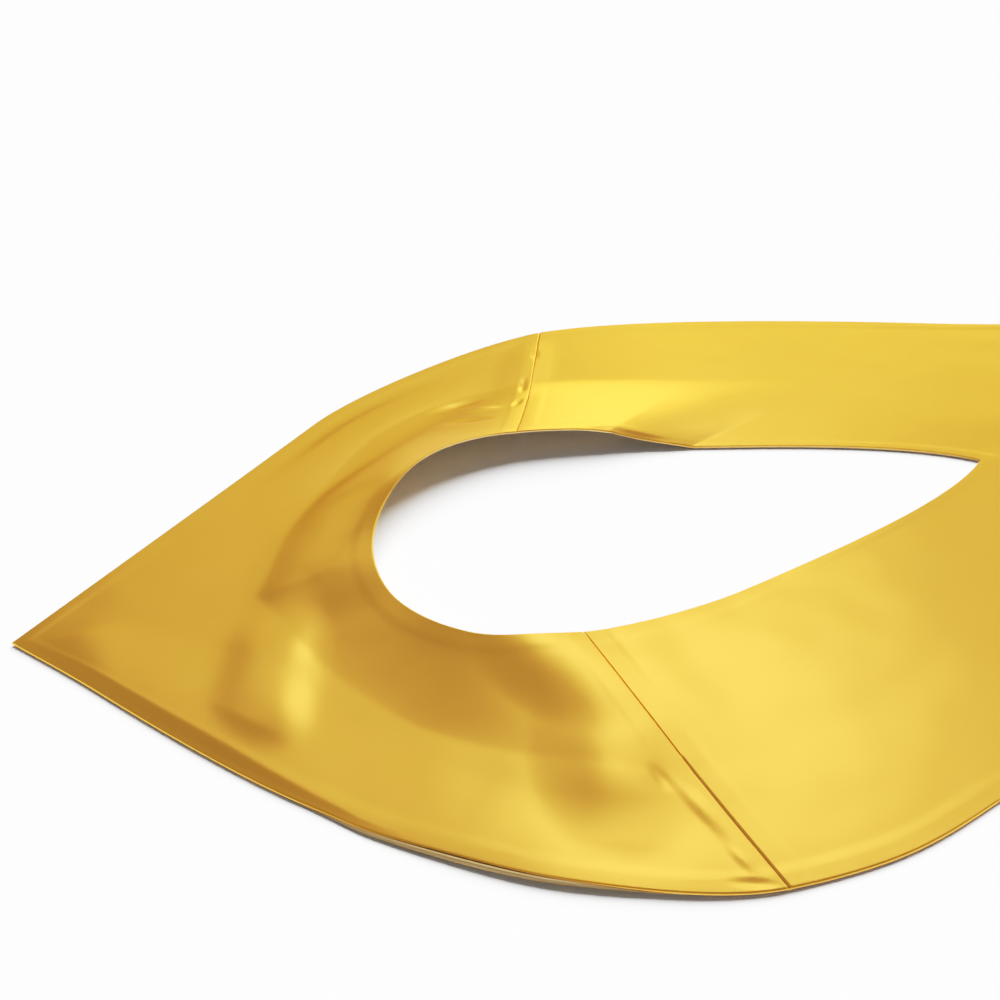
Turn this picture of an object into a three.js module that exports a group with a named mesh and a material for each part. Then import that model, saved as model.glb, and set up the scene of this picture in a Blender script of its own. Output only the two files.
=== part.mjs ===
import * as THREE from 'three';

// A graduation stole laid out on a table, in millimetres, with Z up and the table top at z = 0.
// It is a closed yoke: a short pointed back, a long pointed front and a neck opening between them.
// Each half has a satin face and a satin lining, and the halves meet in two shoulder seams.

// Places along the centreline, measured from the point of the back
const LENGTH = 868;
const NECK_BACK = 168;
const SEAM_NECK_END = 249;
const SEAM_EDGE_END = 286;
const NECK_FRONT = 459;

// Widths across the centreline
const WIDTH = 450;
const NECK_WIDTH = 164;

// Cloth and seams
const FACE_WALL = 1.1;
const LINING_WALL = 1.1;
const LAYER_GAP = 0.3;
const SEAM_GAP = 0.3;
const SEAM_ALLOWANCE = 9;
const ALLOWANCE_RISE = 0.6;

// How the cloth lies: the highest stretch of the neck edge, the deepest soft fold
// and the strip along the outer edge that lies flat
const NECK_LIFT = 18;
const FOLD_RISE = 7;
const FLAT_EDGE = 16;

// Cells of the cloth along each half and from the neck edge to the outer edge
const BACK_CELLS = 44;
const FRONT_CELLS = 60;
const CROSS_CELLS = 9;

const NEAR = -1;
const FAR = 1;

const satin = (color, roughness) => new THREE.MeshStandardMaterial({
  color,
  roughness,
  metalness: 0.1,
  side: THREE.DoubleSide,
});

// One half of each edge, as curves from the centreline of the back to the shoulder seam,
// and from the seam to the centreline of the front. Along is a share of the stretch of
// centreline that the edge spans, across a share of the half width at the shoulder.
// A row without handles is a straight side.
const BACK_OUTER = [
  { along: 0.507, across: 0.707 },
  { along: 1, across: 1, handles: [{ along: 0.601, across: 0.839 }, { along: 0.871, across: 1 }] },
];
const FRONT_OUTER = [
  { along: 0.368, across: 0.649, handles: [{ along: 0.076, across: 1 }, { along: 0.222, across: 0.844 }] },
  { along: 1, across: 0, handles: [{ along: 0.497, across: 0.476 }, { along: 0.742, across: 0.293 }] },
];
const BACK_NECK = [
  { along: 1, across: 1, handles: [{ along: 0, across: 0.537 }, { along: 0.432, across: 1 }] },
];
const FRONT_NECK = [
  { along: 0.362, across: 0.772, handles: [{ along: 0.1, across: 1 }, { along: 0.257, across: 0.878 }] },
  { along: 1, across: 0, handles: [{ along: 0.552, across: 0.604 }, { along: 0.862, across: 0.366 }] },
];

// Where the near outer edge lies wider or narrower than its mirror: centre and reach as
// shares of the length, out as a share of the width
const NEAR_EDGE_WAVES = [
  { along: 0.1, reach: 0.085, out: 0.007 },
  { along: 0.188, reach: 0.06, out: -0.007 },
  { along: 0.385, reach: 0.055, out: 0.006 },
  { along: 0.56, reach: 0.12, out: 0.012 },
];

// How high the neck edge stands, as shares of its lift, round from the middle of the back (0)
// by the shoulder seam (1) to the point of the V (2), and how much of the cloth it lifts
const NECK_STAND = [
  { round: 0, near: 0.42, far: 0.42, nearReach: 0.55, farReach: 0.55 },
  { round: 0.3, near: 0.38, far: 0.72, nearReach: 0.5, farReach: 0.65 },
  { round: 0.7, near: 0.45, far: 1, nearReach: 0.5, farReach: 0.8 },
  { round: 1, near: 0.46, far: 0.82, nearReach: 0.45, farReach: 0.8 },
  { round: 1.2, near: 0.36, far: 0.4, nearReach: 0.45, farReach: 0.7 },
  { round: 1.4, near: 0, far: 0, nearReach: 0.5, farReach: 0.5 },
  { round: 2, near: 0, far: 0, nearReach: 0.5, farReach: 0.5 },
];

// Soft folds. Along is a share of the length and across of the half width, negative on the
// near side. Long and wide are a fold's half sizes as shares of the half width, turn its
// angle from the centreline in degrees, and rise a share of the deepest fold.
const FOLDS = [
  { name: 'ridge by the back point', along: 0.065, across: -0.12, long: 0.26, wide: 0.12, turn: 81, rise: 0.3 },
  { name: 'ridge of the back', along: 0.133, across: -0.27, long: 0.34, wide: 0.15, turn: 80, rise: 0.5 },
  { name: 'roll behind the neck', along: 0.165, across: 0.06, long: 0.3, wide: 0.17, turn: 15, rise: 0.4 },
  { name: 'swell along the near edge', along: 0.225, across: -0.8, long: 0.42, wide: 0.12, turn: -32, rise: 0.4 },
  { name: 'ridge by the near seam', along: 0.284, across: -0.56, long: 0.42, wide: 0.19, turn: 83, rise: 0.6 },
  { name: 'far back swell', along: 0.2, across: 0.6, long: 0.4, wide: 0.16, turn: 35, rise: 0.4 },
  { name: 'far seam ridge', along: 0.31, across: 0.8, long: 0.22, wide: 0.09, turn: 72, rise: 0.4 },
  { name: 'far front swell', along: 0.43, across: 0.58, long: 0.5, wide: 0.2, turn: -12, rise: 0.4 },
  { name: 'near front swell', along: 0.43, across: -0.56, long: 0.5, wide: 0.2, turn: 14, rise: 0.4 },
  { name: 'swell below the V', along: 0.6, across: -0.1, long: 0.4, wide: 0.2, turn: 80, rise: 0.4 },
];

// An edge as a path, from its rows and the sizes that they are shares of
function edgePath(rows, from, to, halfWidth, startAcross) {
  const path = new THREE.CurvePath();
  const place = (row) => new THREE.Vector2(from + (to - from) * row.along, halfWidth * row.across);
  let start = new THREE.Vector2(from, halfWidth * startAcross);
  for (const row of rows) {
    const end = place(row);
    path.add(row.handles
      ? new THREE.CubicBezierCurve(start, place(row.handles[0]), place(row.handles[1]), end)
      : new THREE.LineCurve(start, end));
    start = end;
  }
  path.arcLengthDivisions = 400;
  return path;
}

const backOuter = edgePath(BACK_OUTER, 0, SEAM_EDGE_END, WIDTH / 2, 0);
const frontOuter = edgePath(FRONT_OUTER, SEAM_EDGE_END, LENGTH, WIDTH / 2, 1);
const backNeck = edgePath(BACK_NECK, NECK_BACK, SEAM_NECK_END, NECK_WIDTH / 2, 0);
const frontNeck = edgePath(FRONT_NECK, SEAM_NECK_END, NECK_FRONT, NECK_WIDTH / 2, 1);

// A smooth hill, 1 at its centre and 0 from one reach away
const hill = (distance) => (Math.abs(distance) < 1 ? Math.cos((distance * Math.PI) / 2) ** 2 : 0);

// A smooth step from 0 to 1
function step(share) {
  const s = Math.min(Math.max(share, 0), 1);
  return s * s * (3 - 2 * s);
}

// A point on an edge. Round runs from 0 at the back by 1 at the seam to 2 at the front,
// and each half stops short of the seam by half of its gap.
function edgePoint(backPath, frontPath, round, isBack) {
  const path = isBack ? backPath : frontPath;
  const length = path.getLength();
  const trim = SEAM_GAP / 2 / length;
  const share = isBack ? round * (1 - trim) : trim + (round - 1) * (1 - trim);
  return path.getPointAt(Math.min(Math.max(share, 0), 1));
}

function outerPoint(side, round, isBack) {
  const point = edgePoint(backOuter, frontOuter, round, isBack);
  if (side === NEAR) {
    const taper = Math.min(1, point.y / (WIDTH / 8));
    for (const wave of NEAR_EDGE_WAVES) {
      point.y += WIDTH * wave.out * taper * hill((point.x / LENGTH - wave.along) / wave.reach);
    }
  }
  return new THREE.Vector2(point.x - LENGTH / 2, point.y * side);
}

function neckPoint(side, round, isBack) {
  const point = edgePoint(backNeck, frontNeck, round, isBack);
  return new THREE.Vector2(point.x - LENGTH / 2, point.y * side);
}

// A value of a stand's column at one place round the neck
function standAt(round, column) {
  const after = Math.max(NECK_STAND.findIndex((row) => row.round >= round), 1);
  const [a, b] = [NECK_STAND[after - 1], NECK_STAND[after]];
  return THREE.MathUtils.lerp(a[column], b[column], step((round - a.round) / (b.round - a.round)));
}

// The height that the raised neck edge gives to the cloth
function neckHeight(side, round, across) {
  const name = side === NEAR ? 'near' : 'far';
  const slack = Math.max(0, 1 - across / standAt(round, `${name}Reach`));
  return NECK_LIFT * standAt(round, name) * slack ** 1.7;
}

// The height of the soft folds at a place on the table
function foldHeight(place) {
  let height = 0;
  for (const fold of FOLDS) {
    const x = place.x + LENGTH * (0.5 - fold.along);
    const y = place.y - (fold.across * WIDTH) / 2;
    const turn = THREE.MathUtils.degToRad(fold.turn);
    const along = (x * Math.cos(turn) + y * Math.sin(turn)) / ((fold.long * WIDTH) / 2);
    const aside = (y * Math.cos(turn) - x * Math.sin(turn)) / ((fold.wide * WIDTH) / 2);
    height += FOLD_RISE * fold.rise * hill(Math.min(Math.hypot(along, aside), 1));
  }
  return height;
}

// Shares from neck to outer edge, with a row of points where each turned-in allowance ends
function crossShares(width) {
  const allowance = Math.min(SEAM_ALLOWANCE / width, 1 / CROSS_CELLS);
  const shares = [0];
  for (let i = 0; i <= CROSS_CELLS - 2; i += 1) {
    shares.push(THREE.MathUtils.lerp(allowance, 1 - allowance, i / (CROSS_CELLS - 2)));
  }
  shares.push(1);
  return shares;
}

// One line of points from the neck edge to the outer edge, on the underside of the lining
function crossLine(side, round, isBack) {
  const neck = neckPoint(side, round, isBack);
  const outer = outerPoint(side, round, isBack);
  const width = neck.distanceTo(outer);
  return crossShares(width).map((share, index) => {
    const place = neck.clone().lerp(outer, share);
    const flat = step(((1 - share) * width) / FLAT_EDGE - 0.5);
    const height = neckHeight(side, round, share) + foldHeight(place) * flat;
    const bulge = index === 1 || index === CROSS_CELLS - 1 ? ALLOWANCE_RISE : 0;
    return { place, height, bulge };
  });
}

// The lines of one half, from its first seam round the centreline to its other seam
function halfLines(isBack, cells) {
  const lines = [];
  for (let i = 0; i <= cells; i += 1) {
    const sweep = (2 * i) / cells - 1;
    const round = isBack ? Math.abs(sweep) : 2 - Math.abs(sweep);
    const side = (sweep < 0) === isBack ? NEAR : FAR;
    lines.push(crossLine(side, round, isBack));
  }
  return lines;
}

// A closed wall of cloth on those lines: its underside, its top and its four edges
function clothWall(lines, underside, wall, bulgeShare) {
  const rows = lines.length;
  const columns = lines[0].length;
  const positions = [];
  for (const top of [0, 1]) {
    for (const line of lines) {
      for (const { place, height, bulge } of line) {
        positions.push(place.x, place.y, height + underside + bulge * bulgeShare + wall * top);
      }
    }
  }
  const at = (top, row, column) => (top * rows + row) * columns + column;
  const faces = [];
  const quad = (a, b, c, d) => faces.push(a, b, c, a, c, d);
  for (let r = 0; r < rows - 1; r += 1) {
    for (let c = 0; c < columns - 1; c += 1) {
      quad(at(1, r, c), at(1, r + 1, c), at(1, r + 1, c + 1), at(1, r, c + 1));
      quad(at(0, r, c), at(0, r, c + 1), at(0, r + 1, c + 1), at(0, r + 1, c));
    }
    quad(at(0, r, 0), at(0, r + 1, 0), at(1, r + 1, 0), at(1, r, 0));
    quad(at(0, r + 1, columns - 1), at(0, r, columns - 1), at(1, r, columns - 1), at(1, r + 1, columns - 1));
  }
  for (let c = 0; c < columns - 1; c += 1) {
    quad(at(0, 0, c + 1), at(0, 0, c), at(1, 0, c), at(1, 0, c + 1));
    quad(at(0, rows - 1, c), at(0, rows - 1, c + 1), at(1, rows - 1, c + 1), at(1, rows - 1, c));
  }
  const geometry = new THREE.BufferGeometry();
  geometry.setAttribute('position', new THREE.Float32BufferAttribute(positions, 3));
  geometry.setIndex(faces);
  geometry.computeVertexNormals();
  return geometry;
}

function lining(name, lines) {
  const mesh = new THREE.Mesh(clothWall(lines, 0, LINING_WALL, 0), satin(0xd9a93c, 0.5));
  mesh.name = name;
  return mesh;
}

function face(name, lines) {
  const mesh = new THREE.Mesh(clothWall(lines, LINING_WALL + LAYER_GAP, FACE_WALL, 1), satin(0xe8bf45, 0.35));
  mesh.name = name;
  return mesh;
}

const backLines = halfLines(true, BACK_CELLS);
const frontLines = halfLines(false, FRONT_CELLS);

const stole = new THREE.Group();
stole.add(lining('back_lining', backLines));
stole.add(lining('front_lining', frontLines));
stole.add(face('back_panel', backLines));
stole.add(face('front_panel', frontLines));

export default stole;
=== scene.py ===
import math

import bpy
import numpy as np
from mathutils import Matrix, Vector
from mathutils.geometry import interpolate_bezier


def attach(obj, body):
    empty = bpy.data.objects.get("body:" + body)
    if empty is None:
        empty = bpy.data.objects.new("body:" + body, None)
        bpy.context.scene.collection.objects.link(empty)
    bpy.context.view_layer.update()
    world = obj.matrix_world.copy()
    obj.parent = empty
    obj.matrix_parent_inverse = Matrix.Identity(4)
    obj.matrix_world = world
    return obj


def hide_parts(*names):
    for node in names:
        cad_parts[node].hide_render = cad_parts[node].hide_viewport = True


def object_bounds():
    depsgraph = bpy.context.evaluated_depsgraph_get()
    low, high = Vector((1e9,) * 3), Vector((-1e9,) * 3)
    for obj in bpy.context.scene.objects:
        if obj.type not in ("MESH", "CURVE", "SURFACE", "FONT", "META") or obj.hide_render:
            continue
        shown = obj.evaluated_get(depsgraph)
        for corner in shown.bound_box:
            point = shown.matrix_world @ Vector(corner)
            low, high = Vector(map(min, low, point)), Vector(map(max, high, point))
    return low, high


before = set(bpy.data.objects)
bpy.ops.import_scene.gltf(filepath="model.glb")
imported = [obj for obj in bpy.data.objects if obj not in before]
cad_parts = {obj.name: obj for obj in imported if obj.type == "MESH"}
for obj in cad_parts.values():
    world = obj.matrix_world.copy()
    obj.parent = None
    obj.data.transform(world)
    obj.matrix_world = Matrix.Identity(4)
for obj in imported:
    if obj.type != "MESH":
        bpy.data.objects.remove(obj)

# The table and the studio
# A wide white table top that runs past the picture. It carries the stole and catches the
# soft shadow of the raised neck edge. The camera stands at the back end of the near side.
cad_low, cad_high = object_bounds()
table_size = 12.0
table_below = 0.0006
table_grey = 0.72
table_rough = 0.75
table_glow = 0.03

bpy.ops.object.select_all(action="DESELECT")
bpy.ops.mesh.primitive_plane_add(size=table_size, location=(0, 0, -table_below))
table = bpy.context.object
table.name = "table_top"
bpy.ops.object.transform_apply(location=True, rotation=True, scale=True)
table_paint = bpy.data.materials.new("white_table")
table_paint.use_nodes = True
paint = table_paint.node_tree.nodes["Principled BSDF"]
paint.inputs["Base Color"].default_value = (table_grey, table_grey, table_grey, 1)
paint.inputs["Roughness"].default_value = table_rough
paint.inputs["Specular IOR Level"].default_value = 0
paint.inputs["Emission Color"].default_value = (1, 1, 1, 1)
paint.inputs["Emission Strength"].default_value = table_glow
table.data.materials.append(table_paint)

camera_place = (-0.24885, -0.51754, 0.35075)
camera_turn = (57.923, 6.791, -9.061)
camera_lens = 48.48
camera_film = 36
bpy.ops.object.camera_add(location=camera_place, rotation=[math.radians(a) for a in camera_turn])
camera = bpy.context.object
camera.data.lens = camera_lens
camera.data.sensor_width = camera_film
bpy.context.scene.camera = camera


def softbox(name, place, aim, size, power):
    """An area light at a place, facing a point."""
    bpy.ops.object.light_add(type="AREA", location=place)
    lamp = bpy.context.object
    lamp.name = name
    lamp.data.shape = "RECTANGLE"
    lamp.data.size, lamp.data.size_y = size
    lamp.data.energy = power
    lamp.rotation_euler = (Vector(aim) - Vector(place)).to_track_quat("-Z", "Y").to_euler()
    return lamp


# A wide soft sun lights the table and casts the shadows, and glows in no satin
stole_middle = (-0.1, 0, 0)
sun_place = (0.75, 1.05, 1.5)
sun_power = 13.5
sun_width = math.radians(58)
bpy.ops.object.light_add(type="SUN", location=sun_place)
sun = bpy.context.object
sun.name = "soft_key"
sun.data.energy = sun_power
sun.data.angle = sun_width
sun.rotation_euler = (Vector(stole_middle) - sun.location).to_track_quat("-Z", "Y").to_euler()
sun.visible_glossy = False

# Cards that only the satin mirrors: the first five shape the main view, the others the far sides
reflectors = [
    softbox("wide_reflector", (1.0, 1.55, 1.35), stole_middle, (2.0, 1.9), 4.8),
    softbox("seam_reflector", (0.28, 1.45, 1.4), (-0.2, -0.08, 0), (0.6, 0.5), 3.6),
    softbox("dim_reflector", (-0.25, 1.9, 1.1), (-0.25, 0, 0), (1.4, 1.6), 4.8),
    softbox("low_reflector", (1.15, 1.85, 0.46), (-0.1, 0, 0.05), (2.4, 0.36), 25),
    softbox("side_reflector", (1.7, 0.9, 1.7), stole_middle, (1.2, 1.2), 9),
    softbox("front_reflector", (-1.2, -1.7, 0.9), stole_middle, (1.8, 1.0), 8),
    softbox("near_right_reflector", (1.7, -1.7, 0.7), (0, 0, 0), (2.4, 1.2), 16),
    softbox("left_reflector", (-2.3, 0.2, 0.4), (0, 0, 0), (2.0, 0.7), 8),
    softbox("far_left_reflector", (-2.0, 1.5, 0.7), (0, 0, 0), (1.3, 0.8), 6),
]
for lamp in reflectors:
    lamp.visible_diffuse = False

# The room is white behind the table, and dim wherever it only lights or mirrors
room_dim = 0.2
room_white = 2.6
room = bpy.data.worlds.new("studio_room")
bpy.context.scene.world = room
room.use_nodes = True
room_nodes, room_links = room.node_tree.nodes, room.node_tree.links
room_nodes["Background"].inputs["Color"].default_value = (1, 1, 1, 1)
seen = room_nodes.new("ShaderNodeLightPath")
room_light = room_nodes.new("ShaderNodeMapRange")
room_light.inputs["To Min"].default_value = room_dim
room_light.inputs["To Max"].default_value = room_white
room_links.new(seen.outputs["Is Camera Ray"], room_light.inputs["Value"])
room_links.new(room_light.outputs["Result"], room_nodes["Background"].inputs["Strength"])

# The camera's own tone curve: brights are pressed together, so bright gold turns yellow
tone_points = [
    dict(light=0.096, shown=0.25),
    dict(light=0.192, shown=0.475),
    dict(light=0.308, shown=0.635),
    dict(light=0.423, shown=0.735),
    dict(light=0.577, shown=0.83),
    dict(light=0.77, shown=0.92),
]
tone = bpy.context.scene.view_settings
tone.view_transform = "Standard"
tone.use_curve_mapping = True
tone.curve_mapping.white_level = (room_white, room_white, room_white)
for point in tone_points:
    tone.curve_mapping.curves[3].points.new(point["light"], point["shown"])
tone.curve_mapping.update()

# The back lining
# Gold satin cut to the shape of the back: a short point, rounded shoulders and half of the
# neck opening. It is sewn to the face along the neck and outer edges, turned and pressed.
length = cad_high.x - cad_low.x
half_width = (cad_high.y - cad_low.y) / 2
neck_back = 0.168
seam_neck_end = 0.249
seam_edge_end = 0.286
neck_front = 0.459
half_neck = 0.082
lining_wall = 0.0005
near, far = -1, 1


def edge_line(start, strokes, samples=300):
    """An edge of the cut as evenly spaced points, from strokes of two handles and an end."""
    points = []
    for handle_1, handle_2, end in strokes:
        stroke = [Vector((*p, 0)) for p in (start, handle_1, handle_2, end)]
        points += interpolate_bezier(*stroke, samples)[(1 if points else 0):]
        start = end
    line = np.array([(p.x, p.y) for p in points])
    run = np.concatenate([[0], np.cumsum(np.hypot(*np.diff(line, axis=0).T))])
    return line, run


def on_edge(edge, share):
    """Points at shares of an edge's length."""
    line, run = edge
    at = np.clip(share, 0, 1) * run[-1]
    return np.interp(at, run, line[:, 0]), np.interp(at, run, line[:, 1])


def share_of(start, end, half):
    """Turns shares of a stretch of the centreline and of a half width into metres."""
    return lambda along, across: (start + (end - start) * along, half * across)


back_cut = share_of(0, seam_edge_end, half_width)
front_cut = share_of(seam_edge_end, length, half_width)
back_hole = share_of(neck_back, seam_neck_end, half_neck)
front_hole = share_of(seam_neck_end, neck_front, half_neck)
back_outer = edge_line((0, 0), [
    (back_cut(0.17, 0.236), back_cut(0.34, 0.471), back_cut(0.507, 0.707)),
    (back_cut(0.601, 0.839), back_cut(0.871, 1), back_cut(1, 1)),
])
front_outer = edge_line(front_cut(0, 1), [
    (front_cut(0.076, 1), front_cut(0.222, 0.844), front_cut(0.368, 0.649)),
    (front_cut(0.497, 0.476), front_cut(0.742, 0.293), front_cut(1, 0)),
])
back_neck = edge_line((neck_back, 0), [(back_hole(0, 0.537), back_hole(0.432, 1), back_hole(1, 1))])
front_neck = edge_line(front_hole(0, 1), [
    (front_hole(0.1, 1), front_hole(0.257, 0.878), front_hole(0.362, 0.772)),
    (front_hole(0.552, 0.604), front_hole(0.862, 0.366), front_hole(1, 0)),
])

# Where the near outer edge lies wider or narrower than its mirror, as shares of the length
# and the width. The waves fade out towards the two points.
near_edge_waves = [
    dict(along=0.1, reach=0.085, out=0.007),
    dict(along=0.188, reach=0.06, out=-0.007),
    dict(along=0.385, reach=0.055, out=0.006),
    dict(along=0.56, reach=0.12, out=0.012),
]
wave_fade = half_width / 4

# How high the neck edge stands round from the middle of the back (0) by the shoulder
# seam (1) to the point of the V (2), as shares of the lift, and how much of the cloth's
# width it raises. Corners of the table are eased over a short way.
neck_lift = 0.019
neck_stand = [
    dict(round=0, near=0.4, far=0.4, near_reach=0.34, far_reach=0.34),
    dict(round=0.08, near=0.4, far=0.4, near_reach=0.34, far_reach=0.34),
    dict(round=0.3, near=0.44, far=0.76, near_reach=0.39, far_reach=0.46),
    dict(round=0.5, near=0.46, far=1.01, near_reach=0.46, far_reach=0.54),
    dict(round=0.64, near=0.45, far=1.04, near_reach=0.5, far_reach=0.58),
    dict(round=0.8, near=0.35, far=0.95, near_reach=0.5, far_reach=0.6),
    dict(round=1, near=0.17, far=0.78, near_reach=0.6, far_reach=0.55),
    dict(round=1.2, near=0.08, far=0.6, near_reach=0.6, far_reach=0.5),
    dict(round=1.29, near=0.02, far=0.45, near_reach=0.5, far_reach=0.5),
    dict(round=1.31, near=0, far=0, near_reach=0.5, far_reach=0.5),
    dict(round=2, near=0, far=0, near_reach=0.5, far_reach=0.5),
]
stand_ease = 0.08
ease_samples = 9
stand_bend = 1.3

# The near neck edge is drawn outwards round the seam, and the far one sags just past it
near_neck_drawn = 0.0045
near_neck_spread = 0.38
sag_fall = 0.0014
sag_reach = 0.006
sag_round = 1.25
sag_spread = 0.12

# The near outer edge: it rolls up along the back and rises by the shoulder, where a thin
# strip of the lining peeps out with a bead. Places are shares of the length.
roll_rise = 0.0016
roll_front = 0.003
roll_front_back = 2.2
roll_back = 0.05
roll_end = 0.2
roll_fade = 0.1
tip_fade = 0.06
rim_rise = 0.0016
rim_reach = 0.045
rim_place = 0.25
rim_spread = 0.1
strip_wide = 0.0022
strip_place = 0.215
strip_spread = 0.1
bead_rise = 0.0006

# Soft folds: centre as shares of the length and the half width, half sizes as shares of
# the half width, turn from the centreline in degrees, and rise. They end at the outer edge.
flat_edge = 0.016
folds = [
    dict(along=0.135, across=-0.25, long=0.32, wide=0.13, turn=84, rise=0.0033),
    dict(along=0.149, across=-0.17, long=0.11, wide=0.06, turn=80, rise=0.0007),
    dict(along=0.141, across=-0.38, long=0.12, wide=0.07, turn=95, rise=0.0007),
    dict(along=0.182, across=0.02, long=0.25, wide=0.19, turn=10, rise=0.0034),
    dict(along=0.165, across=0.2, long=0.3, wide=0.12, turn=55, rise=0.002),
    dict(along=0.27, across=-0.4, long=0.23, wide=0.13, turn=-65, rise=0.0028),
    dict(along=0.28, across=-0.66, long=0.26, wide=0.14, turn=88, rise=0.003),
    dict(along=0.307, across=-0.52, long=0.4, wide=0.14, turn=-76, rise=0.0014),
    dict(along=0.2, across=0.6, long=0.4, wide=0.16, turn=35, rise=0.003),
    dict(along=0.31, across=0.8, long=0.22, wide=0.09, turn=72, rise=0.0012),
    dict(along=0.6, across=-0.1, long=0.5, wide=0.25, turn=80, rise=0.002),
]
# Small sharp puckers where the seams draw the cloth, in the same terms
puckers = [
    dict(along=0.298, across=-0.735, long=0.04, wide=0.016, turn=-73, rise=-0.0003),
    dict(along=0.3095, across=-0.81, long=0.09, wide=0.02, turn=-69, rise=0.0003),
    dict(along=0.3125, across=-0.9, long=0.09, wide=0.018, turn=-76, rise=-0.00015),
    dict(along=0.317, across=-0.93, long=0.05, wide=0.014, turn=-65, rise=0.0002),
    dict(along=0.317, across=-0.978, long=0.045, wide=0.014, turn=-20, rise=-0.0003),
    dict(along=0.32, across=0.86, long=0.04, wide=0.016, turn=80, rise=-0.0005),
    dict(along=0.304, across=0.7, long=0.05, wide=0.014, turn=76, rise=-0.0005),
    dict(along=0.309, across=0.71, long=0.05, wide=0.014, turn=76, rise=0.0003),
    dict(along=0.296, across=0.59, long=0.035, wide=0.014, turn=60, rise=-0.0005),
    dict(along=0.258, across=0.65, long=0.08, wide=0.03, turn=14, rise=-0.0011),
    dict(along=0.262, across=0.52, long=0.08, wide=0.028, turn=-25, rise=-0.001),
    dict(along=0.272, across=0.59, long=0.06, wide=0.026, turn=-12, rise=0.001),
    dict(along=0.368, across=0.79, long=0.2, wide=0.025, turn=92, rise=-0.0003),
]


def hill(distance):
    """A smooth hill, 1 at its centre and 0 from one reach away."""
    return np.cos(np.clip(np.abs(distance), 0, 1) * np.pi / 2) ** 2


def step(share):
    """A smooth step from 0 to 1."""
    s = np.clip(share, 0, 1)
    return s * s * (3 - 2 * s)


def stand_at(around, column):
    """A column of the neck stand at places round the neck, its corners eased."""
    rounds = [row["round"] for row in neck_stand]
    values = [row[column] for row in neck_stand]
    ways = np.linspace(-stand_ease, stand_ease, ease_samples)
    return np.mean([np.interp(around + way, rounds, values) for way in ways], 0)


def fold_height(x, y, shapes):
    """Height of some folds at places on the table, x from the middle of the length."""
    height = np.zeros_like(x)
    for f in shapes:
        dx = x + length * (0.5 - f["along"])
        dy = y - f["across"] * half_width
        c, s = math.cos(math.radians(f["turn"])), math.sin(math.radians(f["turn"]))
        along = (dx * c + dy * s) / (f["long"] * half_width)
        aside = (dy * c - dx * s) / (f["wide"] * half_width)
        height += f["rise"] * hill(np.hypot(along, aside))
    return height


seam_crowd = 0.85
edge_crowd = 0.93


def crowd(share, ends):
    """Spreads even shares so that they crowd towards both ends."""
    return share - ends * np.sin(2 * np.pi * share) / (2 * np.pi)


def short_of_seam(share, trim, is_back):
    """Shares of an edge that stop short of the shoulder seam, or start short of it."""
    return share * (1 - trim) if is_back else trim + share * (1 - trim)


def lay_cloth(name, is_back, cells, inset, pull, thread):
    """A grid laid out as one half of the stole: its object, and where each point lies on it.

    inset is how far the edges lie inside the cut, pull how far the near outer edge draws
    back where the lining peeps out, and thread half of the seam's gap."""
    bpy.ops.object.select_all(action="DESELECT")
    bpy.ops.mesh.primitive_grid_add(x_subdivisions=cells[0], y_subdivisions=cells[1], size=2)
    cloth = bpy.context.object
    cloth.name = name
    flat = np.empty(len(cloth.data.vertices) * 3)
    cloth.data.vertices.foreach_get("co", flat)
    flat = flat.reshape(-1, 3)
    # the middle of the sweep is the centreline
    sweep = 2 * crowd((flat[:, 0] + 1) / 2, seam_crowd) - 1
    share = crowd((flat[:, 1] + 1) / 2, edge_crowd)
    around = np.abs(sweep) if is_back else 2 - np.abs(sweep)
    side = np.where((sweep < 0) == is_back, near, far)
    outer, neck = (back_outer, back_neck) if is_back else (front_outer, front_neck)
    here = around if is_back else around - 1
    ox, oy = on_edge(outer, short_of_seam(here, thread / outer[1][-1], is_back))
    nx, ny = on_edge(neck, short_of_seam(here, thread / neck[1][-1], is_back))
    taper = np.minimum(1, oy / wave_fade)
    for w in near_edge_waves:
        wave = 2 * half_width * w["out"] * taper * hill((ox / length - w["along"]) / w["reach"])
        oy = oy + np.where(side == near, wave, 0)
    ny = ny - np.where(side == near, near_neck_drawn * hill((around - 1) / near_neck_spread), 0)
    oy, ny = oy * side, ny * side
    ox, nx = ox - length / 2, nx - length / 2
    wide = np.hypot(ox - nx, oy - ny)
    strip = hill((ox / length + 0.5 - strip_place) / strip_spread) * (side == near)
    share = inset / wide + share * (1 - (2 * inset + pull * strip) / wide)
    x, y = nx + (ox - nx) * share, ny + (oy - ny) * share
    out_way = (1 - share) * wide - max(pull, 0) * strip
    spot = dict(x=x, y=y, share=share, around=around, side=side, wide=wide)
    spot.update(strip=strip, out_way=out_way, seam_way=run_to_seam(around, outer, neck, share))
    return cloth, spot


def run_to_seam(around, outer, neck, share):
    """About how far each point lies from the nearer shoulder seam."""
    way = neck[1][-1] + (outer[1][-1] - neck[1][-1]) * share
    return np.abs(1 - around) * way


def neck_rise(spot):
    """How far the raised neck edge lifts the cloth."""
    is_near, around = spot["side"] == near, spot["around"]
    stand = np.where(is_near, stand_at(around, "near"), stand_at(around, "far"))
    reach = np.where(is_near, stand_at(around, "near_reach"), stand_at(around, "far_reach"))
    slack = np.maximum(0, 1 - spot["share"] / reach)
    return neck_lift * stand * slack ** stand_bend


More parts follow.
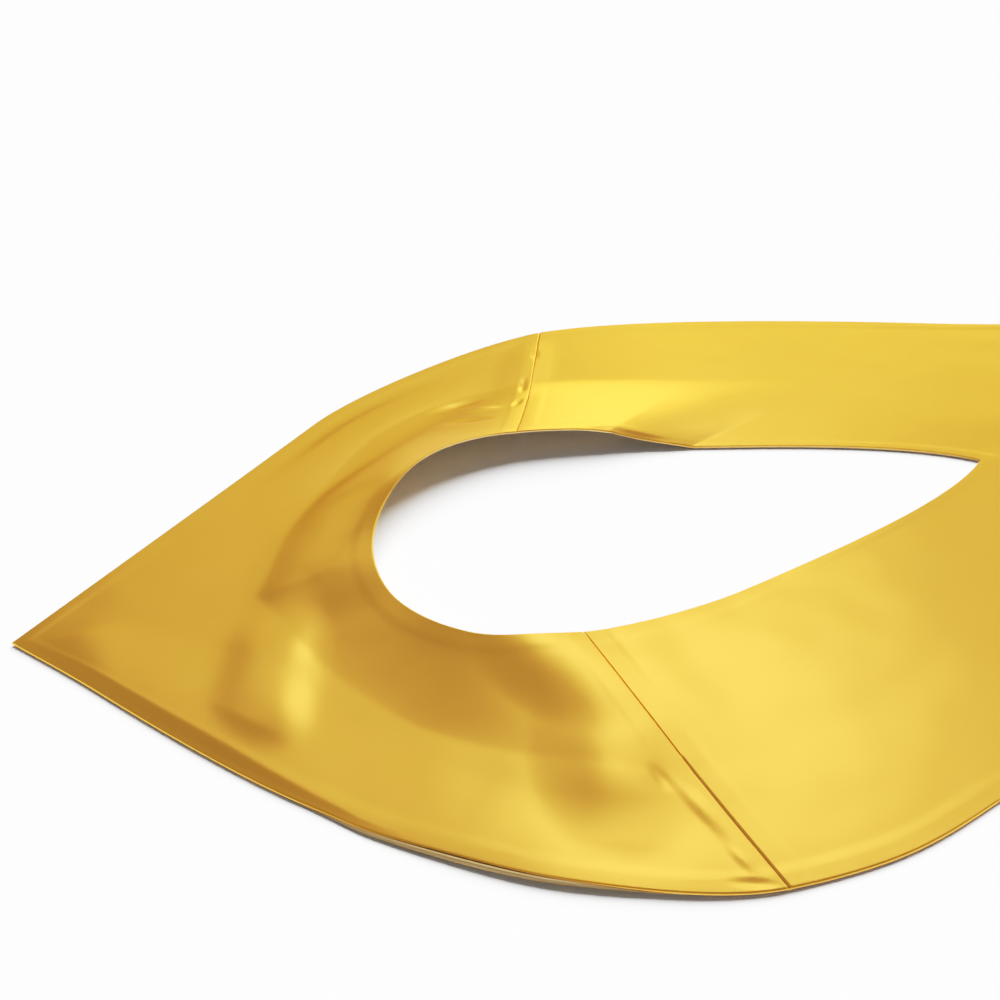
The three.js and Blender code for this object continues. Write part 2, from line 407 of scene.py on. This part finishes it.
def near_edge_rise(spot):
    """How far the roll and the rim lift the cloth by the near outer edge."""
    place = spot["x"] / length + 0.5
    inwards = np.maximum(0, (1 - spot["share"]) * spot["wide"] - spot["strip"] * strip_wide)
    deep = step((roll_end - place) / roll_fade)
    front = roll_front * (1 + roll_front_back * deep)
    roll = roll_rise * deep * step(inwards / front) * (1 - step((inwards - front) / roll_back))
    roll = roll * (spot["side"] == near) * step(place / tip_fade)
    rim = rim_rise * hill((place - rim_place) / rim_spread) * (1 - step(inwards / rim_reach))
    return rim * (spot["side"] == near) + roll


def far_neck_sag(spot):
    """How far the far neck edge sags just past the shoulder seam."""
    sag = sag_fall * (spot["side"] == far) * hill((spot["around"] - sag_round) / sag_spread)
    return sag * hill(spot["share"] * spot["wide"] / sag_reach)


def lie(spot):
    """Height of the lining's underside: the raised edges, the soft folds and the puckers."""
    flat = step((1 - spot["share"]) * spot["wide"] / flat_edge - 0.5)
    height = near_edge_rise(spot) + neck_rise(spot)
    height = height + fold_height(spot["x"], spot["y"], folds) * flat
    height = height - far_neck_sag(spot)
    return np.maximum(0, height + fold_height(spot["x"], spot["y"], puckers))


def lining_height(spot):
    """Height of a lining's underside, which rolls up into a bead where it peeps out."""
    return lie(spot) + bead_rise * spot["strip"] * hill(spot["out_way"] / (strip_wide / 2) - 1)


def set_points(cloth, spot, height):
    """Moves the grid's points to their places."""
    points = np.stack([spot["x"], spot["y"], height], 1)
    cloth.data.vertices.foreach_set("co", points.ravel())
    cloth.data.update()


edge_angle = math.radians(50)


def give_wall(cloth, wall, outwards):
    """Gives the cloth its thickness, and smooth shading with its edges kept."""
    thick = cloth.modifiers.new("wall", "SOLIDIFY")
    thick.thickness = wall
    thick.offset = 1 if outwards else -1
    thick.use_even_offset = False
    bpy.ops.object.modifier_apply(modifier="wall")
    bpy.ops.object.shade_smooth_by_angle(angle=edge_angle)


# The satin: its shade varies a little, its surface is faintly uneven and its fine threads
# run along the stole
shade_scale = 9
shade_low = (0.95, 0.93, 0.88)
uneven_scale = 24
uneven_strength = 0.5
uneven_depth = 0.0012
thread_scale = (60, 2600, 1)
thread_strength = 0.08
thread_depth = 0.0002
satin_metallic = 0.9
satin_anisotropic = 0.4
satin_specular = 0.2
satin_glint = (1, 0.75, 0.37, 1)


def noise(nodes, scale, detail):
    """A noise texture of a scale and a detail."""
    texture = nodes.new("ShaderNodeTexNoise")
    texture.inputs["Scale"].default_value = scale
    texture.inputs["Detail"].default_value = detail
    return texture


def relief(nodes, links, texture, strength, depth):
    """A bump that follows a texture."""
    bump = nodes.new("ShaderNodeBump")
    bump.inputs["Strength"].default_value = strength
    bump.inputs["Distance"].default_value = depth
    links.new(texture.outputs["Fac"], bump.inputs["Height"])
    return bump


def satin(name, gold, rough):
    """Gold satin: glossy along the floats of the weave, with fine threads and faint slubs."""
    cloth_paint = bpy.data.materials.new(name)
    cloth_paint.use_nodes = True
    nodes, links = cloth_paint.node_tree.nodes, cloth_paint.node_tree.links
    shader = nodes["Principled BSDF"]
    place = nodes.new("ShaderNodeTexCoord")
    shade = noise(nodes, shade_scale, 3)
    links.new(place.outputs["Object"], shade.inputs["Vector"])
    ramp = nodes.new("ShaderNodeValToRGB")
    ramp.color_ramp.elements[0].position = 0.3
    ramp.color_ramp.elements[0].color = (*[g * low for g, low in zip(gold, shade_low)], 1)
    ramp.color_ramp.elements[1].position = 0.7
    ramp.color_ramp.elements[1].color = (*gold, 1)
    links.new(shade.outputs["Fac"], ramp.inputs["Fac"])
    links.new(ramp.outputs["Color"], shader.inputs["Base Color"])
    uneven = noise(nodes, uneven_scale, 1)
    links.new(place.outputs["Object"], uneven.inputs["Vector"])
    soft_bump = relief(nodes, links, uneven, uneven_strength, uneven_depth)
    stretch = nodes.new("ShaderNodeMapping")
    stretch.inputs["Scale"].default_value = thread_scale
    links.new(place.outputs["Object"], stretch.inputs["Vector"])
    thread = noise(nodes, 1, 2)
    links.new(stretch.outputs["Vector"], thread.inputs["Vector"])
    thread_bump = relief(nodes, links, thread, thread_strength, thread_depth)
    links.new(soft_bump.outputs["Normal"], thread_bump.inputs["Normal"])
    links.new(thread_bump.outputs["Normal"], shader.inputs["Normal"])
    shader.inputs["Metallic"].default_value = satin_metallic
    shader.inputs["Roughness"].default_value = rough
    shader.inputs["Anisotropic"].default_value = satin_anisotropic
    shader.inputs["Specular IOR Level"].default_value = satin_specular
    shader.inputs["Specular Tint"].default_value = satin_glint
    return cloth_paint


lining_gold = (0.72, 0.5, 0.22)
lining_rough = 0.42
lining_satin = satin("gold_satin_lining", lining_gold, lining_rough)
back_cells = (260, 90)
front_cells = (320, 100)
lining_inset = 0.0008
layer_gap = 0.0003
stitch_gap = 0.00008


def finish_sheet(cloth, node, paint):
    """Paints a finished sheet and says what it is."""
    cloth.data.materials.append(paint)
    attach(cloth, "root")
    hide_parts(node)


back_lining, spot = lay_cloth(
    "satin_back_lining", True, back_cells, lining_inset, -lining_inset, stitch_gap)
set_points(back_lining, spot, lining_height(spot))
give_wall(back_lining, lining_wall, True)
finish_sheet(back_lining, "back_lining", lining_satin)

# The front lining
# The same satin cut to the front: round the V of the neck and down to the long point. It is
# sewn to its face as the back's is, and to the back lining in the shoulder seams.
front_lining, spot = lay_cloth(
    "satin_front_lining", False, front_cells, lining_inset, -lining_inset, stitch_gap)
set_points(front_lining, spot, lining_height(spot))
give_wall(front_lining, lining_wall, True)
finish_sheet(front_lining, "front_lining", lining_satin)

# The back panel
# The satin face of the back. Its edges are turned in over their allowances, which show
# as a faint ridge, and it dips into the stitches of the shoulder seams.
face_wall = 0.0005
face_base = lining_wall + layer_gap
edge_round = 0.0009
edge_drop = 0.0007
strip_drop = 0.0004
seam_round = 0.0005
allowance = 0.009
edge_allowance_rise = 0.00015
edge_allowance_slope = 0.006
seam_allowance_rise = 0.00009
seam_allowance_slope = 0.004
back_face_cells = (260, 150)
front_face_cells = (320, 130)
face_gold = (0.86, 0.395, 0.05)
face_rough = 0.28
face_satin = satin("gold_satin_face", face_gold, face_rough)


def turned_edge(way, radius, depth):
    """How far the cloth drops as it turns over an edge, at distances from it."""
    inside = np.clip(radius - way, 0, radius) / radius
    return depth * (1 - np.sqrt(1 - inside ** 2))


def allowance_height(way, rise, slope):
    """How far the allowance turned in beneath lifts the cloth, at distances from its edge."""
    return rise * (1 - step((way - allowance) / slope + 0.5))


def face_height(spot):
    """Height of a face's top surface."""
    to_edge = np.minimum(spot["share"] * spot["wide"], spot["out_way"])
    to_seam = spot["seam_way"]
    height = lie(spot) + face_base + face_wall
    height = height + allowance_height(to_edge, edge_allowance_rise, edge_allowance_slope)
    height = height + allowance_height(to_seam, seam_allowance_rise, seam_allowance_slope)
    height = height - turned_edge(to_edge, edge_round, edge_drop - strip_drop * spot["strip"])
    return height - turned_edge(to_seam, seam_round, seam_round)


back_panel, spot = lay_cloth("satin_back_panel", True, back_face_cells, 0, strip_wide, stitch_gap)
set_points(back_panel, spot, face_height(spot))
give_wall(back_panel, face_wall, False)
finish_sheet(back_panel, "back_panel", face_satin)

# The front panel
# The satin face of the front, cut in one with both shoulders and the long point. Its edges
# are turned in as the back's are, and the shoulder seams join the two.
front_panel, spot = lay_cloth(
    "satin_front_panel", False, front_face_cells, 0, strip_wide, stitch_gap)
set_points(front_panel, spot, face_height(spot))
give_wall(front_panel, face_wall, False)
finish_sheet(front_panel, "front_panel", face_satin)
